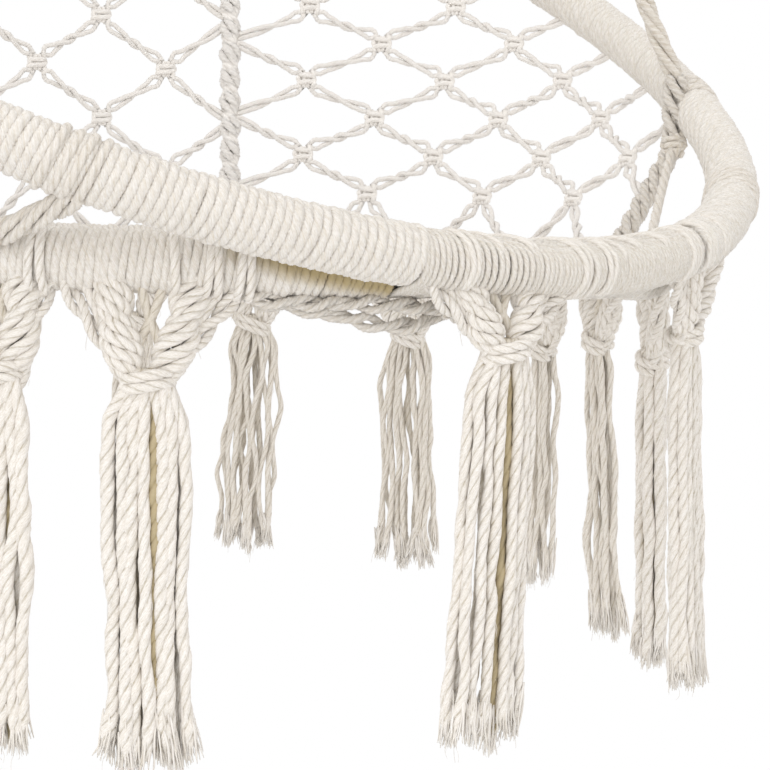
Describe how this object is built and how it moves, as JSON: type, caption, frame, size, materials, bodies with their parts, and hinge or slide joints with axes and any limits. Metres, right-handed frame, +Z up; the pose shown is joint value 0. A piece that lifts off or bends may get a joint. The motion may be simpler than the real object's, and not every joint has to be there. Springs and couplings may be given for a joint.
{
  "type": "hanging hammock chair",
  "caption": "Round hanging hammock chair: cord-wrapped hoops lashed at the front, knotted net seat and back, a tassel fringe, and ropes up to a steel hanging ring.",
  "frame": {"origin": "where a hook bears on the inside of the hanging ring, at its top; the chair hangs below it", "axes": "+Z up along the line the chair hangs on, -Y towards the open front of the seat, +X to the right of someone who looks at the front"},
  "size_m": [0.7772, 0.6893, 1.2426],
  "materials": {
    "ring_steel": "polished",
    "hoop_steel": "powder coated",
    "wrap_cotton": "three-strand cotton cord, wound",
    "rope_cotton": "twisted and knotted cotton rope",
    "net_cotton": "paired cotton cords tied in square knots",
    "tassel_cotton": "twisted cotton cords with frayed ends"
  },
  "bodies": {
    "ring": {"hanging_ring": "ring_steel"},
    "ring_wrap": {"ring_cord_wrap": "wrap_cotton"},
    "chair": {"seat_hoop_tube": "hoop_steel", "back_hoop_tube": "hoop_steel", "seat_hoop_wrap_right": "wrap_cotton", "seat_hoop_wrap_rear": "wrap_cotton", "seat_hoop_wrap_left": "wrap_cotton", "back_hoop_wrap_right": "wrap_cotton", "back_hoop_wrap_top": "wrap_cotton", "back_hoop_wrap_left": "wrap_cotton", "front_lashing": "wrap_cotton", "suspension_rope_left": "rope_cotton", "suspension_rope_right": "rope_cotton", "rope_whipping": "rope_cotton", "side_hitch_left": "rope_cotton", "side_hitch_right": "rope_cotton", "rear_hitch_left": "rope_cotton", "rear_hitch_right": "rope_cotton", "hoop_tie_hitch_left": "rope_cotton", "hoop_tie_hitch_right": "rope_cotton", "hoop_tie_braid_left": "rope_cotton", "hoop_tie_braid_right": "rope_cotton", "drop_sinnet_left": "rope_cotton", "drop_sinnet_right": "rope_cotton", "rear_sinnet_left": "rope_cotton", "rear_sinnet_right": "rope_cotton", "drop_strand_left": "rope_cotton", "drop_strand_right": "rope_cotton", "back_net_left": "net_cotton", "back_net_right": "net_cotton", "back_net_rear": "net_cotton", "seat_net": "net_cotton", "tassel_01": "tassel_cotton", "tassel_02": "tassel_cotton", "tassel_03": "tassel_cotton", "tassel_04": "tassel_cotton", "tassel_05": "tassel_cotton", "tassel_06": "tassel_cotton", "tassel_07": "tassel_cotton", "tassel_08": "tassel_cotton", "tassel_09": "tassel_cotton", "tassel_10": "tassel_cotton", "tassel_11": "tassel_cotton", "tassel_12": "tassel_cotton", "tassel_13": "tassel_cotton", "tassel_14": "tassel_cotton", "tassel_15": "tassel_cotton", "tassel_16": "tassel_cotton", "front_swag": "tassel_cotton"}
  },
  "joints": [
    {"name": "swing_side", "type": "hinge", "parent": "ring", "child": "ring_wrap", "pos_m": [0, 0, -0.0275], "axis": [0, 1, 0], "range_deg": [-20, 20]},
    {"name": "swing_fore_aft", "type": "hinge", "parent": "ring_wrap", "child": "chair", "pos_m": [0, 0, -0.0595], "axis": [1, 0, 0], "range_deg": [-30, 30]}
  ]
}
